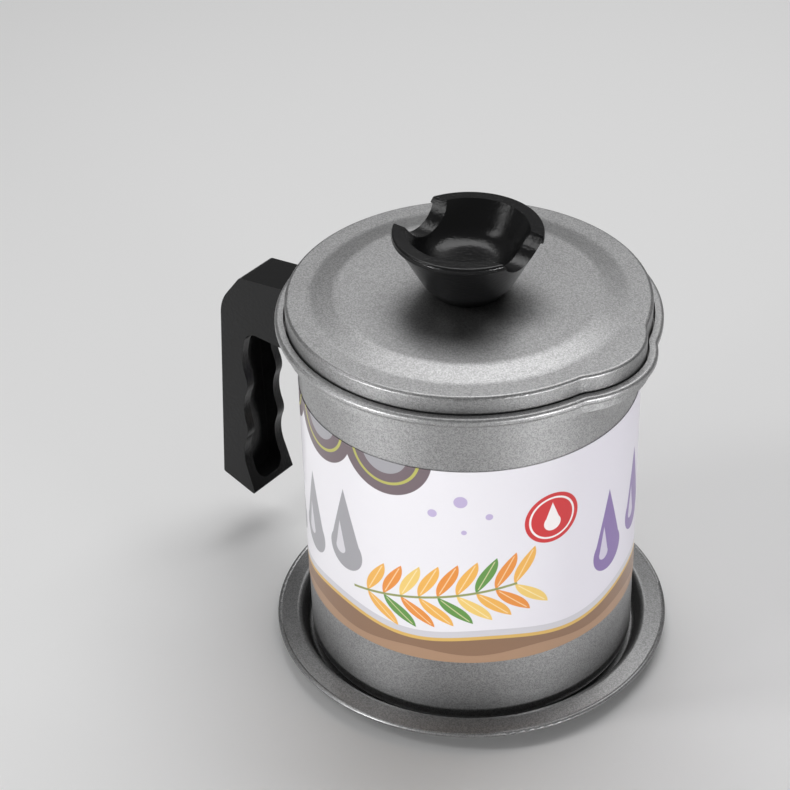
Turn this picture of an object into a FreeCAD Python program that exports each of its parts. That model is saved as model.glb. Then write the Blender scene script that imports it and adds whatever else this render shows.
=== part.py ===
"""Grease container: a coated steel pot with a pouring spout and a side handle, a drip tray under it,
a hanging mesh strainer and a pressed lid with a scooped knob.

Frame: millimetres, +Z up, origin on the pot's axis at the tray's underside,
spout towards +X, handle towards -X.
"""
import FreeCAD
import Part
import Sketcher
import math
import os

doc = FreeCAD.newDocument("GreaseContainer")
sheet = doc.addObject("Spreadsheet::Sheet", "Sizes")


# ---------------------------------------------------------------- sizes

class Size:
    """A number together with the spreadsheet formula that gives it."""

    def __init__(self, value, text):
        self.value = float(value)
        self.text = text

    def __add__(self, other):
        return Size(self.value + number(other), f"({self.text} + {formula(other)})")

    def __sub__(self, other):
        return Size(self.value - number(other), f"({self.text} - {formula(other)})")

    def __mul__(self, other):
        return Size(self.value * number(other), f"({self.text} * {formula(other)})")

    def __truediv__(self, other):
        return Size(self.value / number(other), f"({self.text} / {formula(other)})")

    def __neg__(self):
        return Size(-self.value, f"(-1 * {self.text})")


def number(size):
    return size.value if isinstance(size, Size) else float(size)


def formula(size):
    return size.text if isinstance(size, Size) else f"({float(size)!r})"


DRIVING = [
    # coated sheet steel and the gaps between loose pieces
    ("steel", 0.7, "thickness of the pot, lid and tray"),
    ("seat_gap", 0.05, "air left between loose pieces that rest on each other"),
    ("fit_gap", 0.05, "air round a screw, nut or insert that fits tightly"),
    ("hole_gap", 0.2, "air round a screw in a plain hole"),
    # pot
    ("pot_radius", 56.0, "outer radius of the pot wall"),
    ("pot_depth", 123.25, "pot underside to the top of the rim ledge"),
    ("pot_corner", 4.0, "outer radius of the pot's bottom corner"),
    ("foot_inset", 12.6, "wall to the inner edge of the foot ring"),
    ("foot_recess", 1.0, "how far the pot's base is dished inside the foot ring"),
    ("foot_slope", 2.0, "width of the slope from the foot ring up to the dished base"),
    ("ledge_width", 4.6, "wall to the outside of the rim's upstand"),
    ("bead_radius", 1.5, "half the height of the rolled rim"),
    ("bead_reach", 2.1, "how far the rolled rim stands out of the upstand"),
    ("bead_rise", 4.3, "ledge top to the middle of the rolled rim"),
    ("bead_round", 1.2, "rounding of the rolled rim's outer edges"),
    # pouring spout
    ("spout_inset", 19.0, "wall radius to the middle of the spout's arc"),
    ("spout_reach", 4.2, "how far the spout stands out of the wall at the ledge"),
    ("spout_depth", 20.0, "height over which the spout slopes out"),
    ("spout_slope", 6.2, "how much the spout narrows over that height"),
    ("spout_blend", 4.0, "hollow blend between rim and spout at the rolled rim"),
    # drip tray
    ("tray_gap", 2.0, "pot wall to the tray's bottom corner"),
    ("tray_flare", 2.6, "how far the tray wall leans out"),
    ("tray_height", 7.5, "table to the top of the tray's shoulder"),
    ("tray_brim", 6.6, "width of the brim outside the shoulder"),
    ("brim_drop", 0.8, "how much the brim falls to its edge"),
    ("brim_bead", 0.9, "radius of the brim's rolled edge"),
    ("brim_roll", 0.3, "how far the rolled edge hangs below the brim's middle"),
    ("tray_corner", 1.2, "inside radius of the tray's bends"),
    # strainer
    ("ring_steel", 0.5, "thickness of the strainer's ring, hem and mesh"),
    ("ring_clearance", 0.4, "strainer flange to the rim's upstand"),
    ("collar_clearance", 0.7, "strainer collar to the pot's inner wall"),
    ("collar_depth", 8.0, "length of the collar below the flange"),
    ("mesh_gap", 0.05, "air between collar, mesh and hem"),
    ("hem_step", 1.0, "collar's edges to the hem's"),
    ("basket_depth", 66.0, "ledge to the bottom of the mesh basket"),
    ("basket_taper", 6.5, "how much the basket narrows to its bottom"),
    ("basket_corner", 10.0, "bottom corner radius of the basket"),
    ("tab_step", 0.4, "collar to a lifting tab"),
    ("tab_width", 14.0, "width of a lifting tab"),
    ("tab_height", 4.5, "height of a lifting tab above the flange"),
    # lid
    ("lid_clearance", 0.65, "lid skirt to the rim's upstand"),
    ("lid_height", 11.8, "ledge top to the lid's outer ring"),
    ("lid_edge", 1.1, "rounding of the lid's edge"),
    ("lid_brim", 7.8, "width of the flat ring round the raised middle"),
    ("lid_band", 8.2, "width of the sloping band"),
    ("band_round", 11.0, "rounding where the band meets the flat ring and the raised middle"),
    ("lid_raise", 1.5, "height of the raised middle"),
    # knob
    ("knob_height", 22.0, "lid to the knob's rim"),
    ("knob_radius", 24.3, "outer radius of the knob's rim"),
    ("knob_foot", 11.5, "radius of the knob's foot"),
    ("knob_swell_out", 3.6, "foot to the knob's swell, outwards"),
    ("knob_swell_up", 4.4, "foot to the knob's swell, upwards"),
    ("knob_swell", 6.0, "rounding of the swell"),
    ("knob_lip", 2.2, "height of the band under the knob's rim"),
    ("knob_step", 0.9, "how far the band stands out of the cup"),
    ("knob_edge", 0.4, "rounding of the knob's lower edges"),
    ("knob_rim", 4.5, "width of the knob's flat rim"),
    ("bowl_depth", 11.5, "depth of the hollow in the knob"),
    ("bowl_inset", 7.0, "how much the hollow narrows to its bottom, before rounding"),
    ("bowl_round", 8.5, "rounding of the hollow's bottom"),
    ("groove_radius", 11.7, "radius of the rest groove across the knob"),
    ("groove_rise", 4.7, "middle of the groove above the knob's rim"),
    ("insert_radius", 3.2, "outer radius of the threaded insert"),
    ("insert_length", 7.0, "length of the threaded insert"),
    ("insert_waist", 0.5, "depth of the groove round the insert"),
    # fasteners
    ("screw_thread", 2.0, "radius of both screws, M4"),
    ("screw_head", 3.9, "radius of a screw's head"),
    ("screw_head_height", 2.4, "height of a screw's head"),
    ("knob_grip", 6.5, "how far the knob screw enters the insert"),
    ("washer_radius", 5.5, "radius of the knob washer"),
    ("washer_steel", 0.8, "thickness of the knob washer"),
    ("lock_washer", 1.0, "thickness of the handle's lock washer"),
    ("washer_step", 0.3, "lock washer's edge inside the screw head's"),
    ("nut_width", 7.0, "width across flats of the M4 nut"),
    ("nut_height", 3.2, "thickness of the M4 nut"),
    ("head_round", 1.7, "rounding of a screw's head"),
    ("screw_tip", 1.0, "screw left standing out of the nut"),
    ("point_inset", 0.5, "how much a screw's point narrows"),
    ("point_length", 0.8, "length of a screw's narrowed point"),
    ("drive_width", 1.0, "width of a cross recess's slots"),
    ("drive_reach", 2.1, "middle of a screw's head to the end of a slot"),
    ("drive_depth", 1.4, "depth of a cross recess"),
    # handle bracket
    ("bracket_steel", 1.2, "thickness of the bracket strap"),
    ("bracket_reach", 10.2, "pot wall to the outside of the bracket's bridge"),
    ("bracket_slack", 0.1, "nut to the bracket's sides"),
    ("bracket_wings", 14.2, "width over the bracket's welded wings"),
    ("wing_bend", 0.4, "hollow bend between a wing and the strap"),
    ("bracket_height", 12.0, "height of the strap"),
    ("socket_gap", 0.5, "bracket to the handle's socket"),
    # handle
    ("screw_drop", 22.0, "ledge top down to the handle screw"),
    ("arm_rise", 14.6, "screw to the top of the arm at the pot"),
    ("arm_fall", 5.2, "how far the arm's top falls to its shoulder"),
    ("arm_drop", 13.6, "screw to the underside of the arm at the pot"),
    ("arm_lift", 1.8, "how far the arm's underside climbs to the grip"),
    ("finger_gap", 35.0, "pot wall to the grip"),
    ("grip_depth", 11.3, "thickness of the grip below the arm"),
    ("grip_lean", 3.2, "how far the grip's back leans out at its bottom"),
    ("grip_foot", 19.4, "table to the lowest point of the grip"),
    ("grip_cut", 4.8, "how much higher the grip's end is at the back"),
    ("grip_toe", 0.8, "how far the grip's lowest point stands in towards the pot"),
    ("corner_in", 9.5, "width of the handle's sloping outer corner"),
    ("corner_down", 12.4, "height of the handle's sloping outer corner"),
    ("corner_round", 16.0, "rounding below the sloping corner"),
    ("shoulder_round", 3.0, "rounding above the sloping corner"),
    ("arch_round", 6.0, "rounding where arm and grip meet inside"),
    ("wave_start", 13.5, "arm's underside to the first finger groove"),
    ("wave_end", 17.7, "last finger groove to the lowest point of the grip"),
    ("wave_depth", 0.16, "depth of a finger groove before rounding, as a share of the grooves' spacing"),
    ("wave_lean", 0.9, "how much further out each groove lies than the one above"),
    ("groove_round", 0.95, "rounding of a finger groove, as a share of the grooves' spacing"),
    ("crest_round", 0.45, "rounding between two grooves, as a share of the same"),
    ("end_round", 0.8, "rounding of the grip's end corners"),
    ("arm_width", 16.5, "width of the handle at the top of its arm"),
    ("grip_width", 21.5, "width of the handle at its bottom"),
    ("hollow_wall", 4.0, "wall either side of the grip's hollow"),
    ("hollow_depth", 7.5, "depth of the grip's hollow"),
    ("hollow_foot", 3.5, "grip left solid below the hollow"),
    ("hollow_top", 1.7, "arm's underside to the top of the hollow"),
    ("hollow_narrow", 1.0, "how much each side of the hollow narrows to its top"),
    ("hollow_round", 0.75, "rounding of the hollow's ends, as a share of its half width there"),
    ("screw_seat", 34.0, "pot wall to the seat of the lock washer"),
    # printed sleeve
    ("sleeve_paper", 0.2, "thickness of the printed sleeve"),
    ("sleeve_low", 27.8, "table to the sleeve's lower edge"),
    ("sleeve_drop", 18.3, "ledge top down to the sleeve's upper edge"),
    ("sleeve_angle", 318.0, "degrees that the sleeve covers"),
    # cuts
    ("overrun", 4.0, "how far a cut runs past the surface that it opens"),
]


class Sheet:
    """The driving sizes as attributes."""

    def __init__(self, rows):
        for row, (alias, value, note) in enumerate(rows, start=1):
            sheet.set(f"A{row}", note)
            sheet.set(f"B{row}", str(value))
            sheet.setAlias(f"B{row}", alias)
            setattr(self, alias, Size(value, f"Sizes.{alias}"))


s = Sheet(DRIVING)
doc.recompute()

# places worked out from the driving sizes
BASE = s.steel + s.seat_gap                        # pot underside
LEDGE = BASE + s.pot_depth                         # top of the rim ledge
POT_BORE = s.pot_radius - s.steel
UPSTAND_BORE = s.pot_radius + s.ledge_width - s.steel
RIM_TOP = LEDGE + s.bead_rise + s.bead_radius
SPOUT_X = s.pot_radius - s.spout_inset             # middle of the spout's arc at the rim
SPOUT_WALL = s.spout_inset + s.spout_reach         # radius of the spout's arc at the wall
SPOUT_HOLLOW = s.spout_blend + s.ledge_width + s.bead_reach
FLANGE_TOP = LEDGE + s.seat_gap + s.ring_steel
COLLAR = POT_BORE - s.collar_clearance
LID_STEP = s.ledge_width - s.steel - s.lid_clearance
LID_RADIUS = s.pot_radius + LID_STEP
LID_FOOT = FLANGE_TOP + s.seat_gap
LID_RING = LEDGE + s.lid_height
LID_TOP = LID_RING + s.lid_raise
BAND_OUT = LID_RADIUS - s.lid_brim
BAND_IN = BAND_OUT - s.lid_band
KNOB_RIM = LID_TOP + s.knob_height
SCREW_Z = LEDGE - s.screw_drop
ARM_TOP = SCREW_Z + s.arm_rise
ARCH_Z = SCREW_Z - s.arm_drop + s.arm_lift         # arm's underside at the grip
BRACKET_WIDTH = s.nut_width + (s.bracket_slack + s.bracket_steel) * 2


# ---------------------------------------------------------------- sketching

def new_body(label):
    body = doc.addObject("PartDesign::Body", label)
    body.Label = label
    return body


def new_sketch(body, name, plane, out=None, up=None, along=None):
    """A sketch on one of the body's own planes, moved out along its normal, up its Y or along its X."""
    sketch = body.newObject("Sketcher::SketchObject", name)
    support = [feature for feature in body.Origin.OriginFeatures if feature.Role == plane][0]
    sketch.AttachmentSupport = [(support, "")]
    sketch.MapMode = "FlatFace"
    if out is not None:
        sketch.setExpression("AttachmentOffset.Base.z", formula(out))
    if up is not None:
        sketch.setExpression("AttachmentOffset.Base.y", formula(up))
    if along is not None:
        sketch.setExpression("AttachmentOffset.Base.x", formula(along))
    return sketch


class Rules:
    """Collects a sketch's constraints and binds the sized ones to the sheet."""

    def __init__(self, sketch):
        self.sketch = sketch
        self.list = []
        self.bound = []

    def add(self, *parts):
        self.list.append(Sketcher.Constraint(*parts))

    def sized(self, size, *parts):
        self.bound.append((len(self.list), size))
        self.add(*parts, number(size))

    def place(self, geometry, end, x, y):
        """Fixes a point's x and y, measured from the sketch's origin."""
        for size, kind, axis in ((x, "DistanceX", -2), (y, "DistanceY", -1)):
            if isinstance(size, Size):
                self.sized(size, kind, -1, 1, geometry, end)
            else:
                self.add("PointOnObject", geometry, end, axis)

    def apply(self):
        first = self.sketch.ConstraintCount
        self.sketch.addConstraint(self.list)
        for index, size in self.bound:
            self.sketch.setExpression(f"Constraints[{first + index}]", formula(size))


def angle(vector):
    return math.atan2(vector.y, vector.x)


def arc(centre, radius, start, end):
    circle = Part.Circle(centre, FreeCAD.Vector(0, 0, 1), radius)
    return Part.ArcOfCircle(circle, start, end)


def draw_outline(sketch, corners):
    """A closed outline of straight sides through corners (x, y, rounding).
    A rounded corner keeps its sharp corner as a construction point that both sides pass through."""
    corners = [(*corner, 0)[:3] for corner in corners]
    count = len(corners)
    points = [FreeCAD.Vector(number(x), number(y), 0) for x, y, _ in corners]
    arrive, leave, arcs = list(points), list(points), {}
    for i, (_, _, rounding) in enumerate(corners):
        radius = number(rounding)
        if radius <= 0:
            continue
        back = (points[i - 1] - points[i]).normalize()
        ahead = (points[(i + 1) % count] - points[i]).normalize()
        half = back.getAngle(ahead) / 2
        reach = radius / math.tan(half)
        centre = points[i] + (back + ahead).normalize() * (radius / math.sin(half))
        arrive[i], leave[i] = points[i] + back * reach, points[i] + ahead * reach
        left_turn = (-back).cross(ahead).z > 0
        first, last = (arrive[i], leave[i]) if left_turn else (leave[i], arrive[i])
        arcs[i] = (arc(centre, radius, angle(first - centre), angle(last - centre)), left_turn)
    rules = Rules(sketch)
    start = sketch.GeometryCount
    sides = [Part.LineSegment(leave[i], arrive[(i + 1) % count]) for i in range(count)]
    sketch.addGeometry(sides, False)
    for i, (x, y, rounding) in enumerate(corners):
        side_in, side_out = start + (i - 1) % count, start + i
        if i not in arcs:
            rules.add("Coincident", side_in, 2, side_out, 1)
            rules.place(side_out, 1, x, y)
            continue
        bend, left_turn = arcs[i]
        bend_id = sketch.addGeometry(bend, False)
        corner_id = sketch.addGeometry(Part.Point(points[i]), True)
        enter, quit_end = (1, 2) if left_turn else (2, 1)
        rules.add("Tangent", side_in, 2, bend_id, enter)
        rules.add("Tangent", side_out, 1, bend_id, quit_end)
        rules.sized(rounding, "Radius", bend_id)
        rules.add("PointOnObject", corner_id, 1, side_in)
        rules.add("PointOnObject", corner_id, 1, side_out)
        rules.place(corner_id, 1, x, y)
    rules.apply()


def draw_circle(sketch, x, y, radius):
    centre = FreeCAD.Vector(number(x), number(y), 0)
    circle = Part.Circle(centre, FreeCAD.Vector(0, 0, 1), number(radius))
    circle_id = sketch.addGeometry(circle, False)
    rules = Rules(sketch)
    rules.sized(radius, "Radius", circle_id)
    rules.place(circle_id, 3, x, y)
    rules.apply()


def draw_spouted_ring(sketch, radius, spout_radius, blend):
    """A round outline with a wider arc at +X, joined by a hollow blend on each side. It starts at -X."""
    big, small, hollow, middle = (number(v) for v in (radius, spout_radius, blend, SPOUT_X))
    blend_x = ((big + hollow) ** 2 - (small + hollow) ** 2 + middle ** 2) / (2 * middle)
    blend_y = math.sqrt((big + hollow) ** 2 - blend_x ** 2)
    ring_end = math.atan2(blend_y, blend_x)
    spout_end = math.atan2(blend_y, blend_x - middle)
    origin, spout = FreeCAD.Vector(0, 0, 0), FreeCAD.Vector(middle, 0, 0)
    start = sketch.GeometryCount
    sketch.addGeometry([
        arc(origin, big, -math.pi, -ring_end),
        arc(FreeCAD.Vector(blend_x, -blend_y, 0), hollow, math.pi - spout_end, math.pi - ring_end),
        arc(spout, small, -spout_end, spout_end),
        arc(FreeCAD.Vector(blend_x, blend_y, 0), hollow, math.pi + ring_end, math.pi + spout_end),
        arc(origin, big, ring_end, math.pi),
    ], False)
    low, low_blend, nose, high_blend, high = range(start, start + 5)
    rules = Rules(sketch)
    rules.add("Coincident", low, 3, -1, 1)
    rules.add("Coincident", high, 3, -1, 1)
    rules.sized(radius, "Radius", low)
    rules.add("Coincident", high, 2, low, 1)
    rules.add("PointOnObject", low, 1, -1)
    rules.add("PointOnObject", nose, 3, -1)
    rules.sized(SPOUT_X, "DistanceX", -1, 1, nose, 3)
    rules.sized(spout_radius, "Radius", nose)
    rules.sized(blend, "Radius", low_blend)
    rules.sized(blend, "Radius", high_blend)
    rules.add("Tangent", low, 2, low_blend, 2)
    rules.add("Tangent", low_blend, 1, nose, 1)
    rules.add("Tangent", nose, 2, high_blend, 2)
    rules.add("Tangent", high_blend, 1, high, 1)
    rules.apply()


# ---------------------------------------------------------------- features

def turn(body, name, corners, cut=False, axis="V_Axis", up=None, along=None):
    """Turns an outline on the XZ plane round the sketch's own axis, to add material or to cut it."""
    sketch = new_sketch(body, name + "_outline", "XZ_Plane", up=up, along=along)
    draw_outline(sketch, corners)
    kind = "PartDesign::Groove" if cut else "PartDesign::Revolution"
    feature = body.newObject(kind, name)
    feature.Profile = sketch
    feature.ReferenceAxis = (sketch, [axis])
    feature.Angle = 360
    return feature


def extrude(body, name, sketch, length=None, cut=False, both_ways=False, reverse=False):
    """Pads or pockets a sketch. A cut with no length goes right through the body both ways."""
    feature = body.newObject("PartDesign::Pocket" if cut else "PartDesign::Pad", name)
    feature.Profile = sketch
    if length is None:
        feature.Type = "ThroughAll"
        feature.SideType = "Symmetric"
    else:
        feature.setExpression("Length", formula(length))
        feature.SideType = "Symmetric" if both_ways else "One side"
        feature.Reversed = reverse
    return feature


def cross_corners(width, reach):
    """The twelve corners of a cross recess."""
    near, far = width / 2, reach
    quarter = [(far, -near), (far, near), (near, near)]
    corners = []
    for _ in range(4):
        corners += quarter
        quarter = [(-y, x) for x, y in quarter]
    return corners


def spouted_slab(body, name, low, high, step, cut=False):
    """Adds or cuts a slab between two heights, its outline a step outside the pot wall and spout."""
    sketch = new_sketch(body, name + "_outline", "XY_Plane", out=low)
    draw_spouted_ring(sketch, s.pot_radius + step, SPOUT_WALL + step, SPOUT_HOLLOW - step)
    return extrude(body, name, sketch, high - low, cut=cut, reverse=cut)


def round_slab(body, name, base, heights, step, radius):
    """Rounds a spouted slab's own edges at the given heights."""
    doc.recompute()
    close = 1e-4
    own_radii = [number(r) for r in (s.pot_radius + step, SPOUT_WALL + step, SPOUT_HOLLOW - step)]
    levels = [number(height) for height in heights]
    names = []
    for index, edge in enumerate(base.Shape.Edges, start=1):
        box = edge.BoundBox
        flat = any(abs(box.ZMin - z) < close and abs(box.ZMax - z) < close for z in levels)
        if flat and any(abs(edge.Curve.Radius - r) < close for r in own_radii):
            names.append(f"Edge{index}")
    fillet = body.newObject("PartDesign::Fillet", name)
    fillet.Base = (base, names)
    fillet.setExpression("Radius", formula(radius))
    body.Tip = fillet


# ---------------------------------------------------------------- drip tray

def drip_tray():
    """Shallow pressed dish: flat floor, leaning wall, falling brim with a rolled edge."""
    body = new_body("drip_tray")
    floor = s.pot_radius + s.tray_gap
    shoulder = floor + s.tray_flare
    edge = shoulder + s.tray_brim
    edge_z = s.tray_height - s.brim_drop
    outer_bend = s.tray_corner + s.steel
    turn(body, "dish", [
        (0, 0),
        (floor, 0, outer_bend),
        (shoulder, s.tray_height - s.steel, s.tray_corner),
        (edge, edge_z - s.steel),
        (edge, edge_z),
        (shoulder - s.steel, s.tray_height, outer_bend),
        (floor - s.steel, s.steel, s.tray_corner),
        (0, s.steel),
    ])
    bead = new_sketch(body, "bead_outline", "XZ_Plane")
    draw_circle(bead, edge, edge_z - s.steel / 2 - s.brim_roll, s.brim_bead)
    rolled = body.newObject("PartDesign::Revolution", "rolled_edge")
    rolled.Profile = bead
    rolled.ReferenceAxis = (bead, ["V_Axis"])
    rolled.Angle = 360
    return body


# ---------------------------------------------------------------- pot

def pot_body():
    """Drawn pot: dished base with a foot ring, straight wall, spout, ledge and rolled rim."""
    body = new_body("pot_body")
    foot = s.pot_radius - s.foot_inset
    dish = foot - s.foot_slope
    turn(body, "outside", [
        (0, BASE + s.foot_recess),
        (dish, BASE + s.foot_recess, s.foot_recess),
        (foot, BASE, s.foot_recess),
        (s.pot_radius, BASE, s.pot_corner),
        (s.pot_radius, LEDGE),
        (0, LEDGE),
    ])
    throat = LEDGE - s.spout_depth
    flare = s.spout_slope / s.spout_depth * s.steel
    turn(body, "spout", [
        (0, throat),
        (SPOUT_WALL - s.spout_slope, throat),
        (SPOUT_WALL, LEDGE),
        (0, LEDGE),
    ], along=SPOUT_X)
    spouted_slab(body, "ledge", LEDGE - s.steel, RIM_TOP, s.ledge_width)
    bead_step = s.ledge_width + s.bead_reach
    underside = RIM_TOP - s.bead_radius * 2
    bead = spouted_slab(body, "bead", underside, RIM_TOP, bead_step)
    round_slab(body, "bead_round", bead, [underside, RIM_TOP], bead_step, s.bead_round)
    spouted_slab(body, "upstand", LEDGE, RIM_TOP, s.ledge_width - s.steel, cut=True)
    turn(body, "inside", [
        (0, BASE + s.foot_recess + s.steel),
        (dish - s.steel, BASE + s.foot_recess + s.steel, s.foot_recess),
        (foot - s.steel, BASE + s.steel, s.foot_recess),
        (POT_BORE, BASE + s.steel, s.pot_corner - s.steel),
        (POT_BORE, LEDGE + s.steel),
        (0, LEDGE + s.steel),
    ], cut=True)
    turn(body, "spout_inside", [
        (0, throat),
        (SPOUT_WALL - s.spout_slope - s.steel, throat),
        (SPOUT_WALL - s.steel + flare, LEDGE + s.steel),
        (0, LEDGE + s.steel),
    ], cut=True, along=SPOUT_X)
    return body


def label_sleeve():
    """Printed paper sleeve round the wall, open behind the handle."""
    body = new_body("label_sleeve")
    inner = s.pot_radius + s.seat_gap
    outer = inner + s.sleeve_paper
    sketch = new_sketch(body, "sleeve_outline", "XZ_Plane")
    draw_outline(sketch, [
        (inner, s.sleeve_low),
        (outer, s.sleeve_low),
        (outer, LEDGE - s.sleeve_drop),
        (inner, LEDGE - s.sleeve_drop),
    ])
    wrap = body.newObject("PartDesign::Revolution", "wrap")
    wrap.Profile = sketch
    wrap.ReferenceAxis = (sketch, ["V_Axis"])
    wrap.setExpression("Angle", formula(s.sleeve_angle))
    wrap.Midplane = True
    return body


# ---------------------------------------------------------------- handle

def handle_bracket():
    """Steel strap bent to a bridge, its two wings spot-welded to the pot wall."""
    body = new_body("handle_bracket")
    half, wing = BRACKET_WIDTH / 2, s.bracket_wings / 2
    bore = half - s.bracket_steel
    face = s.pot_radius + s.seat_gap + s.bracket_steel
    bridge = s.pot_radius + s.bracket_reach
    mouth = s.pot_radius - s.overrun
    plan = new_sketch(body, "plan", "XY_Plane", out=SCREW_Z - s.bracket_height / 2)
    draw_outline(plan, [
        (-mouth, wing),
        (-face, wing),
        (-face, half, s.wing_bend),
        (-bridge, half, s.bracket_steel),
        (-bridge, -half, s.bracket_steel),
        (-face, -half, s.wing_bend),
        (-face, -wing),
        (-mouth, -wing),
        (-mouth, -bore),
        (-(bridge - s.bracket_steel), -bore),
        (-(bridge - s.bracket_steel), bore),
        (-mouth, bore),
    ])
    extrude(body, "strap", plan, s.bracket_height)
    wall = new_sketch(body, "wall", "XY_Plane", out=SCREW_Z)
    draw_circle(wall, 0, 0, s.pot_radius + s.seat_gap)
    extrude(body, "wall_cut", wall, cut=True)
    hole = new_sketch(body, "hole", "YZ_Plane", out=-bridge)
    draw_circle(hole, 0, SCREW_Z, s.screw_thread + s.hole_gap)
    extrude(body, "screw_hole", hole, s.bracket_steel * 3, cut=True, both_ways=True)
    return body


def handle_nut():
    """M4 hexagon nut held inside the bracket's bridge."""
    body = new_body("handle_nut")
    face = s.pot_radius + s.bracket_reach - s.bracket_steel - s.fit_gap
    flat = s.nut_width / 2
    side = flat / math.cos(math.pi / 6)
    plan = new_sketch(body, "plan", "YZ_Plane", out=-face, up=SCREW_Z)
    draw_outline(plan, [
        (flat, -(side / 2)), (flat, side / 2), (0, side),
        (-flat, side / 2), (-flat, -(side / 2)), (0, -side),
    ])
    extrude(body, "hexagon", plan, s.nut_height)
    bore = new_sketch(body, "bore", "YZ_Plane", out=-face, up=SCREW_Z)
    draw_circle(bore, 0, 0, s.screw_thread)
    extrude(body, "thread", bore, cut=True)
    return body


def pan_screw(label, axis, up, seat, length):
    """Cross-recess pan screw turned round an axis of the XZ plane, its head on the low side of the seat."""
    body = new_body(label)
    shank = s.screw_thread - s.fit_gap
    tip, top = seat + length, seat - s.screw_head_height
    outline = [
        (tip, 0),
        (tip, shank - s.point_inset),
        (tip - s.point_length, shank),
        (seat, shank),
        (seat, s.screw_head),
        (top, s.screw_head, s.head_round),
        (top, 0),
    ]
    flat = axis == "H_Axis"
    if not flat:
        outline = [(out, along, *rounding) for along, out, *rounding in outline]
    turn(body, "blank", outline, axis=axis, up=up)
    slots = new_sketch(body, "slots", "YZ_Plane" if flat else "XY_Plane", out=top, up=up)
    draw_outline(slots, cross_corners(s.drive_width, s.drive_reach))
    extrude(body, "cross_recess", slots, s.drive_depth * 2, cut=True, both_ways=True)
    return body


def handle_screw():
    """M4 screw through the arm into the bracket's nut, its head towards -X."""
    seat = s.pot_radius + s.screw_seat + s.lock_washer
    tip = s.pot_radius + s.bracket_reach - s.bracket_steel - s.nut_height - s.screw_tip
    return pan_screw("handle_screw", "H_Axis", SCREW_Z, -seat, seat - tip)


def handle_washer():
    """Lock washer under the handle screw's head."""
    body = new_body("handle_washer")
    near = s.pot_radius + s.screw_seat
    bore = s.screw_thread + s.hole_gap
    outside = s.screw_head - s.washer_step
    turn(body, "ring", [
        (-(near + s.lock_washer), bore),
        (-near, bore),
        (-near, outside),
        (-(near + s.lock_washer), outside),
    ], axis="H_Axis", up=SCREW_Z)
    return body


def grip_outline():
    """Side view of the handle: arm, rounded corner, leaning back, sloping end and finger grooves."""
    root = s.pot_radius - s.overrun
    front = s.pot_radius + s.finger_gap
    back = front + s.grip_depth
    shoulder_z = ARM_TOP - s.arm_fall
    spacing = (ARCH_Z - s.wave_start - s.wave_end - s.grip_foot) / 2
    corners = [
        (-root, ARM_TOP),
        (-(back - s.corner_in), shoulder_z, s.shoulder_round),
        (-back, shoulder_z - s.corner_down, s.corner_round),
        (-(back + s.grip_lean), s.grip_foot + s.grip_cut, s.end_round),
        (-(front - s.grip_toe), s.grip_foot, s.end_round),
    ]
    for step in (2, 1, 0):
        groove_z = ARCH_Z - s.wave_start - spacing * step
        groove = front + spacing * s.wave_depth + s.wave_lean * step
        corners.append((-groove, groove_z, spacing * s.groove_round))
        if step:
            crest = front + s.wave_lean * (step - 1)
            corners.append((-crest, groove_z + spacing / 2, spacing * s.crest_round))
    corners += [
        (-front, ARCH_Z, s.arch_round),
        (-root, SCREW_Z - s.arm_drop),
    ]
    return corners


def lean_sides(body):
    """Cuts the two side faces so that the handle widens evenly from its top to its bottom."""
    lean = (s.grip_width - s.arm_width) / 2 / (ARM_TOP - s.grip_foot)
    bottom, top = s.grip_foot - s.overrun, ARM_TOP + s.overrun
    flanks = new_sketch(body, "flanks", "YZ_Plane")
    for sign in (1, -1):
        low = (s.grip_width / 2 + lean * s.overrun) * sign
        high = (s.arm_width / 2 - lean * s.overrun) * sign
        outside = s.grip_width * sign
        draw_outline(flanks, [(low, bottom), (outside, bottom), (outside, top), (high, top)])
    extrude(body, "flank_cuts", flanks, cut=True)


def hollow_grip(body):
    """The finger side is hollowed between two side walls, rounded at both ends."""
    low = s.grip_foot + s.hollow_foot
    high = ARCH_Z - s.hollow_top
    half = s.grip_width / 2 - s.hollow_wall
    narrow = half - s.hollow_narrow
    hollow = new_sketch(body, "hollow", "YZ_Plane", out=-(s.pot_radius + s.finger_gap + s.hollow_depth))
    low_round, high_round = half * s.hollow_round, narrow * s.hollow_round
    draw_outline(hollow, [
        (half, low, low_round), (narrow, high, high_round),
        (-narrow, high, high_round), (-half, low, low_round),
    ])
    extrude(body, "finger_hollow", hollow, s.hollow_depth + s.overrun, cut=True, reverse=True)


def cut_socket(body):
    """The end of the arm follows the pot wall and takes in the bracket."""
    wall = new_sketch(body, "wall", "XY_Plane", out=SCREW_Z)
    draw_circle(wall, 0, 0, s.pot_radius + s.socket_gap / 2)
    extrude(body, "wall_cut", wall, cut=True)
    tall = s.bracket_height + s.socket_gap * 2
    mouth = s.pot_radius - s.overrun
    for name, reach, width in (("socket", s.bracket_reach, BRACKET_WIDTH),
                               ("wing_recess", s.bracket_steel, s.bracket_wings)):
        end = s.pot_radius + reach + s.socket_gap
        half = width / 2 + s.socket_gap / 2
        plan = new_sketch(body, name + "_plan", "XY_Plane", out=SCREW_Z - tall / 2)
        draw_outline(plan, [(-end, -half), (-mouth, -half), (-mouth, half), (-end, half)])
        extrude(body, name, plan, tall, cut=True, reverse=True)


def drill_handle(body):
    """The screw's hole, and the wider hole in which its head lies."""
    seat = s.pot_radius + s.screw_seat
    for name, radius, start, length in (
            ("screw_hole", s.screw_thread + s.hole_gap, s.pot_radius, s.screw_seat + s.overrun),
            ("head_hole", s.screw_head + s.socket_gap, seat, s.finger_gap)):
        hole = new_sketch(body, name + "_outline", "YZ_Plane", out=-start)
        draw_circle(hole, 0, SCREW_Z, radius)
        extrude(body, name, hole, length, cut=True)


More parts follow.
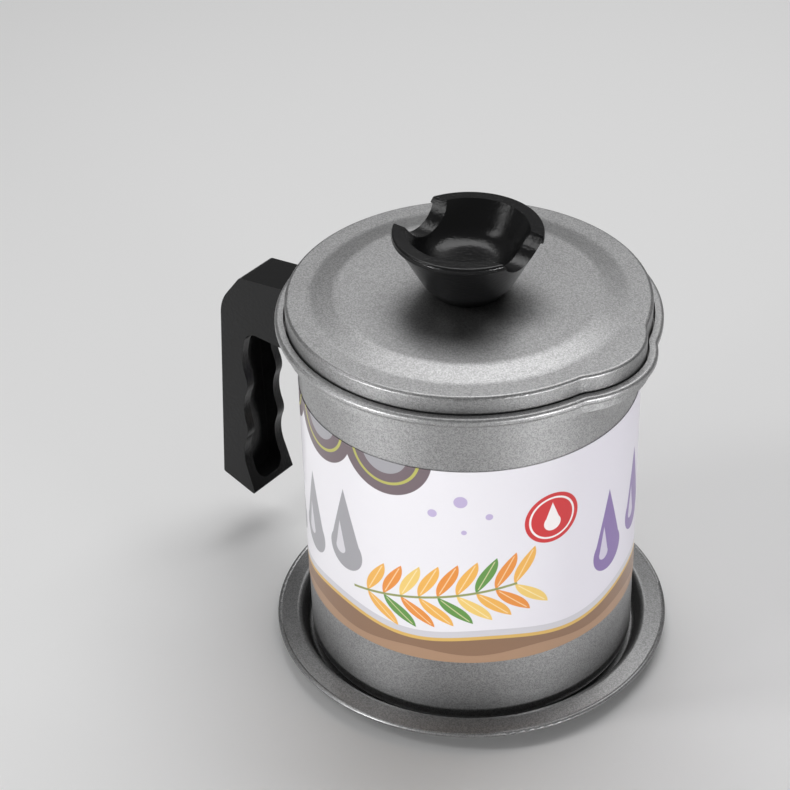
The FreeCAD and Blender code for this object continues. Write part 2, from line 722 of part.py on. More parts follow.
def handle_grip():
    """Moulded heat-proof handle, hollowed on the finger side, with a socket for the bracket."""
    body = new_body("handle_grip")
    side = new_sketch(body, "side", "XZ_Plane")
    draw_outline(side, grip_outline())
    extrude(body, "blank", side, s.grip_width + s.overrun, both_ways=True)
    lean_sides(body)
    hollow_grip(body)
    cut_socket(body)
    drill_handle(body)
    return body


# ---------------------------------------------------------------- strainer

def strainer_ring():
    """Pressed stainless ring: flange on the rim's ledge, collar inside the pot, two lifting tabs."""
    body = new_body("strainer_ring")
    flange = UPSTAND_BORE - s.ring_clearance
    low = LEDGE + s.seat_gap
    inner = COLLAR - s.ring_steel
    turn(body, "ring", [
        (inner, low - s.collar_depth),
        (COLLAR, low - s.collar_depth),
        (COLLAR, low, s.ring_steel / 2),
        (flange, low),
        (flange, FLANGE_TOP),
        (inner, FLANGE_TOP, s.ring_steel),
    ])
    tabs = new_sketch(body, "tabs", "XY_Plane", out=FLANGE_TOP - s.ring_steel / 2)
    half = s.tab_width / 2
    for sign in (1, -1):
        near = (COLLAR + s.tab_step) * sign
        far = (COLLAR + s.tab_step + s.ring_steel) * sign
        draw_outline(tabs, [(-half, near), (half, near), (half, far), (-half, far)])
    extrude(body, "lifting_tabs", tabs, s.tab_height)
    return body


def basket_wall(inset):
    """Radii and heights of the basket's skin, set in from the collar."""
    top = COLLAR - s.ring_steel - s.mesh_gap - inset
    return top, top - s.basket_taper, LEDGE - s.basket_depth + inset


def strainer_mesh():
    """Deep mesh basket with a rounded bottom, held between collar and hem."""
    body = new_body("strainer_mesh")
    out_top, out_low, out_z = basket_wall(0)
    in_top, in_low, in_z = basket_wall(s.ring_steel)
    straight = LEDGE - s.collar_depth
    mouth = LEDGE - s.hem_step
    turn(body, "basket", [
        (0, out_z),
        (out_low, out_z, s.basket_corner),
        (out_top, straight, s.basket_corner),
        (out_top, mouth),
        (in_top, mouth),
        (in_top, straight, s.basket_corner),
        (in_low, in_z, s.basket_corner - s.ring_steel),
        (0, in_z),
    ])
    return body


def strainer_hem():
    """Inner band that clamps the mesh against the collar."""
    body = new_body("strainer_hem")
    outer = basket_wall(s.ring_steel)[0] - s.mesh_gap
    low, high = LEDGE - s.collar_depth + s.hem_step, LEDGE - s.hem_step
    turn(body, "band", [
        (outer - s.ring_steel, low),
        (outer, low),
        (outer, high),
        (outer - s.ring_steel, high),
    ])
    return body


# ---------------------------------------------------------------- lid and knob

def lid_shell():
    """Pressed lid: skirt inside the rim, cover over the spout, flat ring, sloping band, raised middle."""
    body = new_body("lid_shell")
    block = spouted_slab(body, "block", LID_FOOT, LID_RING, LID_STEP)
    round_slab(body, "edge", block, [LID_RING], LID_STEP, s.lid_edge)
    spouted_slab(body, "hollow", LID_FOOT, LID_RING - s.steel, LID_STEP - s.steel, cut=True)
    turn(body, "raised_middle", [
        (0, LID_RING - s.steel / 2),
        (BAND_OUT + s.lid_brim / 2, LID_RING - s.steel / 2),
        (BAND_OUT + s.lid_brim / 2, LID_RING),
        (BAND_OUT, LID_RING, s.band_round),
        (BAND_IN, LID_TOP, s.band_round),
        (0, LID_TOP),
    ])
    turn(body, "under_middle", [
        (0, LID_RING - s.steel * 2),
        (BAND_OUT + s.lid_brim / 2, LID_RING - s.steel * 2),
        (BAND_OUT + s.lid_brim / 2, LID_RING - s.steel),
        (BAND_OUT, LID_RING - s.steel, s.band_round),
        (BAND_IN, LID_TOP - s.steel, s.band_round),
        (0, LID_TOP - s.steel),
    ], cut=True)
    hole = new_sketch(body, "hole", "XY_Plane", out=LID_TOP)
    draw_circle(hole, 0, 0, s.screw_thread + s.hole_gap)
    extrude(body, "screw_hole", hole, cut=True)
    return body


def knob():
    """Moulded knob: a cup on a small foot, a hollow in its top and a groove across it to rest a spoon."""
    body = new_body("knob")
    foot_z = LID_TOP + s.seat_gap
    lip_z = KNOB_RIM - s.knob_lip
    turn(body, "cup", [
        (0, foot_z),
        (s.knob_foot, foot_z, s.knob_step),
        (s.knob_foot + s.knob_swell_out, foot_z + s.knob_swell_up, s.knob_swell),
        (s.knob_radius - s.knob_step, lip_z, s.knob_edge),
        (s.knob_radius, lip_z, s.knob_edge),
        (s.knob_radius, KNOB_RIM, s.knob_step),
        (0, KNOB_RIM),
    ])
    mouth = s.knob_radius - s.knob_rim
    floor_z = KNOB_RIM - s.bowl_depth
    turn(body, "bowl", [
        (0, floor_z),
        (mouth - s.bowl_inset, floor_z, s.bowl_round),
        (mouth, KNOB_RIM),
        (mouth, KNOB_RIM + s.knob_lip),
        (0, KNOB_RIM + s.knob_lip),
    ], cut=True)
    groove = new_sketch(body, "groove_outline", "YZ_Plane")
    draw_circle(groove, 0, KNOB_RIM + s.groove_rise, s.groove_radius)
    extrude(body, "rest_groove", groove, cut=True)
    bore = new_sketch(body, "insert_bore", "XY_Plane", out=foot_z)
    draw_circle(bore, 0, 0, s.insert_radius + s.fit_gap)
    extrude(body, "insert_hole", bore, s.insert_length + s.fit_gap, cut=True, reverse=True)
    return body


def knob_insert():
    """Knurled brass insert moulded into the knob's foot."""
    body = new_body("knob_insert")
    low = LID_TOP + s.seat_gap + s.fit_gap
    high = low + s.insert_length - s.fit_gap
    waist = (low + high) / 2
    turn(body, "insert", [
        (s.screw_thread, low),
        (s.insert_radius, low),
        (s.insert_radius, waist - s.insert_waist * 2),
        (s.insert_radius - s.insert_waist, waist - s.insert_waist),
        (s.insert_radius - s.insert_waist, waist + s.insert_waist),
        (s.insert_radius, waist + s.insert_waist * 2),
        (s.insert_radius, high),
        (s.screw_thread, high),
    ])
    return body


def knob_washer():
    """Flat washer under the lid."""
    body = new_body("knob_washer")
    top = LID_TOP - s.steel
    turn(body, "ring", [
        (s.screw_thread + s.hole_gap, top - s.washer_steel),
        (s.washer_radius, top - s.washer_steel),
        (s.washer_radius, top),
        (s.screw_thread + s.hole_gap, top),
    ])
    return body


def knob_screw():
    """M4 screw from under the lid up into the insert."""
    seat = LID_TOP - s.steel - s.washer_steel
    return pan_screw("knob_screw", "V_Axis", None, seat, s.washer_steel + s.steel + s.knob_grip)


# ---------------------------------------------------------------- build, check, write

PIECES = [
    drip_tray, pot_body, label_sleeve,
    handle_bracket, handle_nut, handle_grip, handle_washer, handle_screw,
    strainer_ring, strainer_mesh, strainer_hem,
    lid_shell, knob, knob_insert, knob_washer, knob_screw,
]

bodies = [piece() for piece in PIECES]
doc.recompute()

for item in doc.Objects:
    if "Invalid" in item.State or "Error" in item.State:
        raise RuntimeError(f"{item.Name} failed: {item.State}")

os.makedirs("parts", exist_ok=True)
for body in bodies:
    shape = body.Shape
    if shape.isNull() or not shape.isValid() or len(shape.Solids) != 1:
        raise RuntimeError(f"{body.Label}: not one valid solid")
    shape.exportStep(f"parts/{body.Label}.step")
    print(f"{body.Label:16s} {shape.Volume / 1000:8.2f} cm3")
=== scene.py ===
"""Grease container in its frame: drip tray, coated pot with a printed sleeve and a side handle,
hanging strainer of wire cloth, and a pressed lid with a scooped knob. Metres, +Z up, and the spout
points along +X.
"""

import math

import bmesh
import bpy
from mathutils import Matrix, Vector


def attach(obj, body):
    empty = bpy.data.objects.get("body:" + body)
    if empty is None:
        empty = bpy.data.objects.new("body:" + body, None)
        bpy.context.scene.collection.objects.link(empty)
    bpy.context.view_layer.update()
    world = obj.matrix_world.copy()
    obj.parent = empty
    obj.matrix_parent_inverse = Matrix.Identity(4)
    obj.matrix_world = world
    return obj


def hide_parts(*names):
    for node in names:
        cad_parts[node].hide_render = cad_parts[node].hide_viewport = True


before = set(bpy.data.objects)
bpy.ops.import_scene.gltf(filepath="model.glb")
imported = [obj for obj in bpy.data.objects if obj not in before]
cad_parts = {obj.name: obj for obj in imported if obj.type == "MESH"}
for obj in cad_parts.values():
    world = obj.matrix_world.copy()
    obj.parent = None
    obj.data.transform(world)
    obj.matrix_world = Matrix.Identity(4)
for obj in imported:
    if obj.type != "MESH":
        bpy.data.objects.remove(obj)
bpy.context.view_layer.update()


# ------------------------------------------------------------------ drip tray
# The tray is a shallow dish pressed from thin sheet steel, its brim rolled over at the edge. It is
# sprayed all over with the same grey non-stick coating as the pot, a satin film full of fine metal
# flakes, and the pot only stands in it.

class Value:
    """One value in a tree of nodes. Arithmetic on it adds the nodes that work the result out."""

    def __init__(self, tree, socket):
        self.tree, self.socket = tree, socket

    def __add__(self, other):
        return self.tree.maths("ADD", self, other)

    __radd__ = __add__

    def __sub__(self, other):
        return self.tree.maths("SUBTRACT", self, other)

    def __rsub__(self, other):
        return self.tree.maths("SUBTRACT", other, self)

    def __mul__(self, other):
        return self.tree.maths("MULTIPLY", self, other)

    __rmul__ = __mul__

    def __truediv__(self, other):
        return self.tree.maths("DIVIDE", self, other)

    def __abs__(self):
        return self.tree.maths("ABSOLUTE", self)

    def least(self, other):
        return self.tree.maths("MINIMUM", self, other)

    def most(self, other):
        return self.tree.maths("MAXIMUM", self, other)

    def wave(self):
        return self.tree.maths("SINE", self)

    def swing(self):
        return self.tree.maths("COSINE", self)

    def root(self):
        return self.tree.maths("SQRT", self)

    def whole(self):
        """The nearest whole number."""
        return self.tree.maths("ROUND", self)

    def beyond(self, limit):
        """1 where the value is above the limit, else 0."""
        return self.tree.maths("GREATER_THAN", self, limit)

    def rises(self, low, high):
        """0 below low, 1 above high and a smooth step between."""
        return self.tree.add("ShaderNodeMapRange", {"interpolation_type": "SMOOTHSTEP"},
                             {"Value": self, "From Min": low, "From Max": high})


class Tree:
    """A tree of shader or geometry nodes. One method makes every node."""

    def __init__(self, nodes, links):
        self.nodes, self.links = nodes, links

    def add(self, kind, settings=None, inputs=None, output=0):
        """Adds a node: its settings first, then the values or links of its sockets. Returns one of
        its outputs, if it has any."""
        node = self.nodes.new(kind)
        for name, setting in (settings or {}).items():
            if name != "stops":
                setattr(node, name, setting)
                continue
            for index, (place, colour) in enumerate(setting):
                ramp = node.color_ramp.elements
                stop = ramp[index] if index < 2 else ramp.new(place)
                stop.position, stop.color = place, (*colour, 1)
        for name, given in (inputs or {}).items():
            self.feed(node.inputs[name], given)
        return Value(self, node.outputs[output]) if node.outputs else None

    def parts(self, vector):
        """The three parts of a vector or a colour."""
        node = self.add("ShaderNodeSeparateXYZ", inputs={0: vector}).socket.node
        return [Value(self, socket) for socket in node.outputs]

    def maths(self, operation, *operands):
        return self.add("ShaderNodeMath", {"operation": operation}, dict(enumerate(operands)))

    def feed(self, socket, given):
        if isinstance(given, Value):
            self.links.new(given.socket, socket)
        else:
            socket.default_value = given


class Finish(Tree):
    """A material: its constants are set on the shader, and what varies is fed to it."""

    def __init__(self, name, **constants):
        self.material = bpy.data.materials.new(name)
        self.material.use_nodes = True
        tree = self.material.node_tree
        tree.nodes.clear()
        super().__init__(tree.nodes, tree.links)
        surface = self.add("ShaderNodeBsdfPrincipled")
        self.add("ShaderNodeOutputMaterial", inputs={"Surface": surface})
        self.shader = surface.socket.node
        self.paint(**constants)
        self.place = self.add("ShaderNodeTexCoord", output="Object")

    def noise(self, scale, detail=2.0, stretch=(1, 1, 1)):
        """Noise of a size given as cells per metre, about 0 to 1."""
        place = self.add("ShaderNodeMapping", inputs={"Vector": self.place, "Scale": stretch})
        return self.add("ShaderNodeTexNoise", inputs={
            "Vector": place, "Scale": scale, "Detail": detail, "Roughness": 0.6})

    def flakes(self, scale):
        """A random number for each cell of a size given as cells per metre."""
        cells = self.add("ShaderNodeTexVoronoi", inputs={"Vector": self.place, "Scale": scale},
                         output="Color")
        return self.parts(cells)[0]

    def mix(self, share, low, high):
        """The colour between low and high; both may be colours or values of this tree."""
        low, high = ((*c, 1) if isinstance(c, tuple) else c for c in (low, high))
        return self.add("ShaderNodeMix", {"data_type": "RGBA"}, {0: share, 6: low, 7: high}, 2)

    def bump(self, height, depth):
        """The normal over a relief of height 0 to 1 times depth in metres."""
        return self.add("ShaderNodeBump", inputs={"Height": height, "Distance": depth})

    def paint(self, **fed):
        """Sets or links sockets of the shader, and returns the material."""
        for socket, given in fed.items():
            self.feed(self.shader.inputs[socket.replace("_", " ")], given)
        return self.material


def shades(tone, *shares):
    """A colour made darker or lighter by each share."""
    return [tuple(part * share for part in tone) for share in shares]


def dress(node, material):
    """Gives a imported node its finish."""
    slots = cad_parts[node].data.materials
    slots.clear()
    slots.append(material)


FLAKES, DUST = 2800, 5600       # cells per metre
DARKEST, LIGHTEST = 0.58, 1.42  # shares of the coating's tone


def coated_steel(name, tone, shine):
    """Satin grey film with metal flakes, faint patches from spraying and a fine orange peel."""
    film = Finish(name, Metallic=1.0, Coat_Weight=0.25, Coat_Roughness=0.16)
    flake, dust = film.flakes(FLAKES), film.flakes(DUST)
    patches = film.noise(45, detail=3)
    level = 0.55 * flake + 0.25 * dust + 0.20 * patches
    dark, light = shades(tone, DARKEST, LIGHTEST)
    peel = film.noise(1500, detail=3) * 0.6 + flake * 0.4
    return film.paint(Base_Color=film.mix(level, dark, light),
                      Roughness=shine + 0.08 * (dust - 0.5) + 0.06 * (patches - 0.5),
                      Normal=film.bump(peel, 0.00002))


# The tray's coating is the pot's, but its grey is set darker than the pot's: painted shade.
TRAY_GREY_WITH_PAINTED_SHADE = (0.30, 0.30, 0.302)
dress("drip_tray", coated_steel("tray_coating", TRAY_GREY_WITH_PAINTED_SHADE, 0.42))


# ------------------------------------------------------------------ pot
# The pot is deep drawn from one sheet, with the pouring spout pressed out of its wall and the rim
# rolled outwards over a ledge. The same coating covers it inside and out.

POT_GREY = (0.38, 0.38, 0.382)
dress("pot_body", coated_steel("pot_coating", POT_GREY, 0.48))


# ------------------------------------------------------------------ printed sleeve
# A strip of glossy paper is glued round the wall and stops short of the handle on both sides. Its
# print is a plain pattern of scallops, drops, waves and leaves in lilac, grey, gold, green and red.

SLEEVE_RADIUS = 56.15           # mm, the middle of the paper
BLUR = 0.12                     # mm, how far an outline fades to each side
PAPER, LILAC = (0.83, 0.815, 0.85), (0.73, 0.70, 0.79)
MAUVE, SILVER = (0.17, 0.13, 0.145), (0.36, 0.355, 0.38)
VIOLET, PALE_LILAC = (0.25, 0.17, 0.40), (0.52, 0.44, 0.66)
OLIVE, STALK_GREEN = (0.48, 0.47, 0.12), (0.30, 0.33, 0.12)
FOAM, GOLD = (0.60, 0.59, 0.63), (0.70, 0.45, 0.13)
DARK_WOOD, PALE_WOOD = (0.27, 0.16, 0.10), (0.40, 0.25, 0.16)
RED, ROSE_WHITE = (0.62, 0.035, 0.04), (0.93, 0.88, 0.88)
COOL_WHITE, STRAW = (0.90, 0.88, 0.93), (0.95, 0.83, 0.55)
LEAF_COLOURS = (                # the share of a turn where each begins
    (0, (0.85, 0.45, 0.10)), (0.36, (0.13, 0.30, 0.07)), (0.55, (0.80, 0.29, 0.06)),
    (0.80, (0.86, 0.60, 0.18)))


def from_point(du, dv):
    return (du * du + dv * dv).root()


def inside_drop(du, dv, radius, height):
    """The way in from the outline of a drop that stands on its round end, at its middle."""
    cone = ((height - dv) * (radius / height) - abs(du)).least(dv)
    return (radius - from_point(du, dv)).most(cone)


class Print(Finish):
    """The sleeve's paper and what is printed on it, one motif over another. All of it is drawn in
    millimetres: u runs round the wall from the spout, v up from the table."""

    def __init__(self, name, **constants):
        super().__init__(name, **constants)
        x, y, z = self.parts(self.place)
        self.u = self.maths("ARCTAN2", y, x) * SLEEVE_RADIUS
        self.v = z * 1000
        self.shade = self.noise(35)
        lilac_share = (self.u + 40).rises(-40, 75) * 0.75 + 0.1 * self.shade
        self.ink = self.mix(lilac_share, PAPER, LILAC)

    def lay(self, depth, colour, share=1.0):
        """Prints a colour where depth, the way in from a motif's outline, is above 0."""
        self.ink = self.mix(depth.rises(-BLUR, BLUR) * share, self.ink, colour)

    def scallops(self, upper_edge=109, first=-109, width=29, last_number=1):
        """Scallops hang from the upper edge, in mauve and grey with a yellow-green line."""
        outer, line, half_line, inner = 16.2, 12, 0.5, 8.2
        number = ((self.u - first) / width).whole().least(last_number)
        distance = from_point(self.u - first - number * width, self.v - upper_edge)
        self.lay(outer - distance, MAUVE)
        self.lay(half_line - abs(distance - line), OLIVE)
        self.lay(inner - distance, SILVER)

    def drops(self, spacing=19.5, foot=57, sway=5, middle_left=-88, middle_right=-8.5):
        """Tall drops stand round the wall except its middle, silver at the left, violet at the
        right, each with a pale glint."""
        step = (self.u / spacing).whole()
        du, dv = self.u - step * spacing, self.v - foot - sway * (step * 2.1).wave()
        open_wall = (middle_left - self.u).most(self.u - middle_right)
        tint = self.mix((self.u + 60).rises(0, 40), SILVER, VIOLET)
        drop = inside_drop(du, dv, radius=7.6, height=25)
        glint = inside_drop(du + 2.4, dv, radius=2.3, height=11)
        self.lay(drop.least(open_wall), tint)
        self.lay(glint.least(open_wall), COOL_WHITE, 0.6)

    def waves(self, foam=41.0, gold=38.4, dark=37.0, pale=31.6):
        """Waves run along the lower edge, in grey, gold and wood brown, each up to its height."""
        swell = (self.u / 9.5).wave() * 1.5 + (self.u / 21).wave()
        ripple = (self.u / 6.5).wave() * 0.8
        self.lay(foam + swell - self.v, FOAM, 0.9)
        self.lay(gold + swell - self.v, GOLD)
        self.lay(dark + swell - self.v, DARK_WOOD)
        self.lay(pale + ripple - self.v, PALE_WOOD)

    def sprig(self, u0=-88, v0=50, lean=math.radians(11), spacing=6.4, reach=6.2, width=2.7):
        """A sprig of gold, orange and green leaves leans over the middle, from its stalk's foot."""
        slope, leaves, vein_gap, stalk_foot, stalk_tip = 0.75, 8.5, 0.9, -6, 52
        half_vein, half_stalk = 0.22, 0.45
        leaf_turn, side_turn = 0.37, 0.21   # shares of the leaf colours' turn
        du, dv = self.u - u0, self.v - v0
        along = du * math.cos(lean) + dv * math.sin(lean)
        across = dv * math.cos(lean) - du * math.sin(lean)
        out = abs(across)
        slant = along - slope * out
        step = (slant / spacing).whole()
        from_vein = abs(slant - step * spacing)
        share = (out - reach) / reach
        leaf = (1 - share * share) * width - from_vein
        turn = step * leaf_turn + (across * 100).rises(-1, 1) * side_turn
        colour = self.add("ShaderNodeValToRGB", {"stops": LEAF_COLOURS},
                          {0: self.maths("FRACT", turn)})
        colour.socket.node.color_ramp.interpolation = "CONSTANT"
        whole_leaves = (slant + spacing / 2).least(leaves * spacing - slant)
        vein = (half_vein - from_vein).least(leaf - vein_gap)
        stalk = (half_stalk - out).least(along - stalk_foot).least(stalk_tip - along)
        self.lay(leaf.least(whole_leaves), colour)
        self.lay(vein.least(whole_leaves), STRAW, 0.6)
        self.lay(stalk, STALK_GREEN)

    def badge(self, u0=-25, v0=83, radius=9.6, ring=7.8, half_line=0.35):
        """A red badge with a plain ring and a drop in it."""
        distance = from_point(self.u - u0, self.v - v0)
        self.lay(radius - distance, RED)
        self.lay(half_line - abs(distance - ring), ROSE_WHITE)
        self.lay(inside_drop(self.u - u0, self.v - (v0 - 2), radius=3.0, height=8), ROSE_WHITE)

    def dots(self):
        """Four pale lilac dots float over the sprig."""
        for u0, v0, radius in ((-64, 89, 1.5), (-55, 94, 2.2), (-46, 88, 1.2), (-54, 82, 0.9)):
            self.lay(radius - from_point(self.u - u0, self.v - v0), PALE_LILAC)

    def printed(self):
        return self.paint(Base_Color=self.ink, Roughness=0.30 + 0.08 * self.shade,
                          Normal=self.bump(self.noise(500, detail=3), 0.00002))


sleeve = Print("printed_sleeve", Coat_Weight=0.2, Coat_Roughness=0.2, Specular_IOR_Level=0.4)
sleeve.scallops()
sleeve.drops()
sleeve.waves()
sleeve.sprig()
sleeve.badge()
sleeve.dots()
dress("label_sleeve", sleeve.printed())


# ------------------------------------------------------------------ handle fixings
# A zinc-plated strap is spot-welded to the wall behind the rim. An M4 screw with a lock washer
# runs through the arm of the handle into a nut that the strap holds from turning.

def bare_metal(name, tone, shine, streak):
    """Plated or bare metal: lightly crystalline, with faint lines from drawing or turning."""
    metal = Finish(name, Metallic=1.0)
    crystals = metal.flakes(900)
    lines = metal.noise(2500, stretch=streak)
    dark, light = shades(tone, 0.8, 1.15)
    return metal.paint(Base_Color=metal.mix(0.5 * crystals + 0.5 * lines, dark, light),
                       Roughness=shine + 0.12 * lines, Normal=metal.bump(lines, 0.00001))


ZINC = (0.60, 0.61, 0.62)
zinc_plate = bare_metal("zinc_plate", ZINC, 0.28, (1, 1, 0.06))
for piece in ("handle_bracket", "handle_nut", "handle_washer", "handle_screw"):
    dress(piece, zinc_plate)


# ------------------------------------------------------------------ handle
# The handle is one heat-proof black moulding: arm, leaning back, finger grooves and a hollow
# between two side walls. The mould leaves every outer edge slightly round and the faces satin.

TOUCHING = 1e-6                 # metres, nearer than this is one place
FLAT = math.radians(0.4)        # faces that bend less are one face


def softened(node, width, segments, least_bend=28):
    """A copy of a moulded node with its sharp edges rounded off, which stands for the node."""
    form = bmesh.new()
    form.from_mesh(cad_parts[node].data)
    bmesh.ops.remove_doubles(form, verts=form.verts, dist=TOUCHING)
    bmesh.ops.dissolve_limit(form, angle_limit=FLAT, verts=form.verts, edges=form.edges)
    form.verts.index_update()
    mesh = bpy.data.meshes.new(node + "_moulding")
    faces = [[v.index for v in face.verts] for face in form.faces]
    mesh.from_pydata([v.co for v in form.verts], [], faces)
    form.free()
    mesh.shade_smooth()
    piece = bpy.data.objects.new(node + "_moulding", mesh)
    bpy.context.scene.collection.objects.link(piece)
    bevel = piece.modifiers.new("edges", "BEVEL")
    bevel.width, bevel.segments = width, segments
    bevel.limit_method, bevel.angle_limit = "ANGLE", math.radians(least_bend)
    bevel.miter_outer = "MITER_ARC"
    weight = piece.modifiers.new("faces", "WEIGHTED_NORMAL")
    weight.keep_sharp = False
    return plain(piece)


def plain(piece):
    """Turns a piece's modifiers into its mesh."""
    bpy.context.view_layer.update()
    graph = bpy.context.evaluated_depsgraph_get()
    mesh = bpy.data.meshes.new_from_object(
        piece.evaluated_get(graph), preserve_all_data_layers=True, depsgraph=graph)
    piece.modifiers.clear()
    piece.data = mesh
    return piece


DEEP_BLACK, RUBBED_BLACK = (0.003, 0.003, 0.0032), (0.010, 0.010, 0.0105)


def black_moulding(name):
    """Phenolic moulding: near black and satin, with a fine grain and a slight shine from use."""
    resin = Finish(name, Specular_IOR_Level=0.3)
    grain = resin.noise(950, detail=3)
    clouds = resin.noise(60, detail=3)
    colour = resin.mix(0.5 * grain + 0.5 * clouds, DEEP_BLACK, RUBBED_BLACK)
    return resin.paint(Base_Color=colour, Roughness=0.12 + 0.10 * grain + 0.08 * clouds,
                       Normal=resin.bump(grain, 0.0001))


def put(piece, body, slot, material, *nodes):
    """Finishes a piece of its own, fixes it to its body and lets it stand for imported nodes."""
    piece.data.materials.clear()
    piece.data.materials.append(material)
    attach(piece, body)
    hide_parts(*nodes)


black = black_moulding("black_phenolic")
HANDLE_EDGE = 0.0007            # metres
put(softened("handle_grip", HANDLE_EDGE, 3), "pot", "black_moulding", black, "handle_grip")


# ------------------------------------------------------------------ strainer
# The basket hangs by a pressed stainless ring whose flange lies on the pot's ledge. Wire cloth is
# formed to a cup, its top clamped between the ring's collar and an inner band.

STAINLESS, WIRE_GREY = (0.66, 0.655, 0.64), (0.60, 0.60, 0.60)
stainless = bare_metal("stainless", STAINLESS, 0.16, (0.06, 0.06, 1))
dress("strainer_ring", stainless)
dress("strainer_hem", stainless)

CLOTH = {                        # metres, radii to the middle of the cloth
    "Wires round": 244, "Rows": 49, "Wire radius": 0.00014, "Crimp": 0.00011,
    "Collar radius": 0.0538, "Mouth height": 0.123, "Collar foot": 0.116, "Lean": 0.112,
    "Corner height": 0.0676, "Corner radius": 0.00935, "Floor wires": 54}
SEAM_SHARE = 1.7                 # the seam ring's wire, as a share of the cloth's


class Growth(Tree):
    """A tree of geometry nodes with named inputs, run once and turned into a plain mesh."""

    def __init__(self, name, sizes):
        self.group = bpy.data.node_groups.new(name, "GeometryNodeTree")
        super().__init__(self.group.nodes, self.group.links)
        self.sizes, self.sockets = sizes, {}
        face = self.group.interface
        face.new_socket("Piece", in_out="OUTPUT", socket_type="NodeSocketGeometry")
        for key, size in sizes.items():
            kind = "NodeSocketInt" if isinstance(size, int) else "NodeSocketFloat"
            self.sockets[key] = face.new_socket(key, in_out="INPUT", socket_type=kind)
        outputs = self.add("NodeGroupInput").socket.node.outputs
        self.given = {key: Value(self, outputs[key]) for key in sizes}

    def point(self, x, y, z):
        return self.add("ShaderNodeCombineXYZ", inputs={0: x, 1: y, 2: z})

    def grow(self, name, material, *pieces):
        """Joins the pieces, realizes and finishes them, and returns them as one plain object."""
        joined = self.add("GeometryNodeJoinGeometry")
        for piece in pieces:
            self.feed(joined.socket.node.inputs[0], piece)
        smooth = self.add("GeometryNodeSetShadeSmooth", inputs={0: joined})
        real = self.add("GeometryNodeRealizeInstances", inputs={0: smooth})
        done = self.add("GeometryNodeSetMaterial", inputs={0: real, "Material": material})
        self.add("NodeGroupOutput", inputs={0: done})
        piece = bpy.data.objects.new(name, bpy.data.meshes.new(name))
        bpy.context.scene.collection.objects.link(piece)
        run = piece.modifiers.new(name, "NODES")
        run.node_group = self.group
        for key, size in self.sizes.items():
            run[self.sockets[key].identifier] = size
        return plain(piece)


